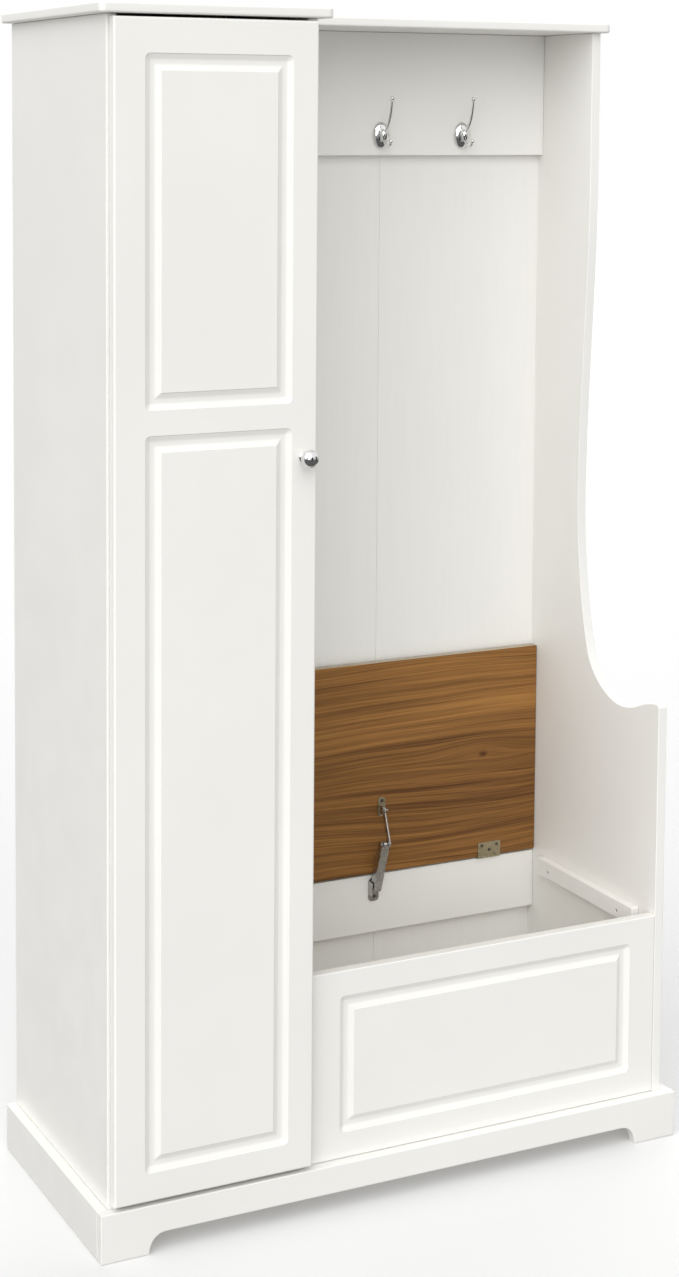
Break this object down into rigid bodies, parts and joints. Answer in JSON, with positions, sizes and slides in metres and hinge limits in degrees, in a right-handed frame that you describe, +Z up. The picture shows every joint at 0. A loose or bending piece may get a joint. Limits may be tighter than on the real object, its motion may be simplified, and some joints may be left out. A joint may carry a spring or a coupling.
{
  "type": "hall tree",
  "caption": "Tall cupboard with an overlay door beside an open bay with a hook rail over a lift-lid storage bench, on a plinth with bracket feet.",
  "frame": {"origin": "on the floor, under the middle of the whole outline seen from above, knob included", "axes": "+Z up, front towards -Y, +X towards the hook bay as seen from the front"},
  "size_m": [0.996, 0.444, 1.8],
  "materials": {
    "white_paint": "satin white paint on board",
    "walnut_board": "satin walnut grain",
    "chrome_plate": "polished",
    "bright_steel": "bright zinc plate",
    "yellow_zinc": "pale yellow zinc plate",
    "grey_plastic": "matt"
  },
  "bodies": {
    "case": {"plinth_front_rail": "white_paint", "plinth_left_rail": "white_paint", "plinth_right_rail": "white_paint", "left_side_panel": "white_paint", "partition_panel": "white_paint", "right_side_panel": "white_paint", "cupboard_floor": "white_paint", "bench_floor": "white_paint", "shelf_1": "white_paint", "shelf_2": "white_paint", "shelf_3": "white_paint", "shelf_4": "white_paint", "cupboard_top": "white_paint", "hall_top": "white_paint", "cupboard_back_sheet": "white_paint", "hall_back_sheet_left": "white_paint", "hall_back_sheet_right": "white_paint", "hook_rail": "white_paint", "bench_rear_rail": "white_paint", "bench_front_panel": "white_paint", "lid_support_left": "white_paint", "lid_support_right": "white_paint", "hook_plate_1": "chrome_plate", "hook_plate_2": "chrome_plate", "hook_plate_3": "chrome_plate", "hook_prongs_1": "chrome_plate", "hook_prongs_2": "chrome_plate", "hook_prongs_3": "chrome_plate", "hinge_arm_1": "bright_steel", "hinge_arm_2": "bright_steel", "hinge_arm_3": "bright_steel", "hinge_plate_1": "bright_steel", "hinge_plate_2": "bright_steel", "hinge_plate_3": "bright_steel", "stay_bracket": "bright_steel", "hinge_rail_leaf_left": "yellow_zinc", "hinge_rail_leaf_right": "yellow_zinc", "hinge_pin_left": "yellow_zinc", "hinge_pin_right": "yellow_zinc", "magnet_catch": "grey_plastic"},
    "door": {"door_panel": "white_paint", "door_knob": "chrome_plate", "door_knob_screw": "bright_steel", "catch_plate": "bright_steel", "hinge_cup_1": "bright_steel", "hinge_cup_2": "bright_steel", "hinge_cup_3": "bright_steel"},
    "lid": {"lid_board": "walnut_board", "hinge_lid_leaf_left": "yellow_zinc", "hinge_lid_leaf_right": "yellow_zinc", "stay_lid_plate": "yellow_zinc"},
    "stay_channel_body": {"stay_channel": "bright_steel", "stay_elbow_pin": "bright_steel", "stay_spring": "bright_steel"},
    "stay_arm_body": {"stay_arm": "bright_steel"}
  },
  "joints": [
    {"name": "door_swing", "type": "hinge", "parent": "case", "child": "door", "pos_m": [-0.474, -0.181, 0.93], "axis": [0, 0, -1], "range_deg": [0, 100]},
    {"name": "lid_swing", "type": "hinge", "parent": "case", "child": "lid", "pos_m": [0.1562, 0.1895, 0.3678], "axis": [1, 0, 0], "range_deg": [0, 90]},
    {"name": "stay_channel_swing", "type": "hinge", "parent": "case", "child": "stay_channel_body", "pos_m": [0.1472, 0.183, 0.344], "axis": [1, 0, 0], "range_deg": [0, 96.66]},
    {"name": "stay_elbow_swing", "type": "hinge", "parent": "stay_channel_body", "child": "stay_arm_body", "pos_m": [0.1552, 0.155, 0.428], "axis": [1, 0, 0], "range_deg": [-48.42, 0]}
  ],
  "couplings": [
    {"joint": "stay_channel_swing", "follows": "lid_swing", "ratio": 1.074},
    {"joint": "stay_elbow_swing", "follows": "lid_swing", "ratio": -0.538}
  ]
}
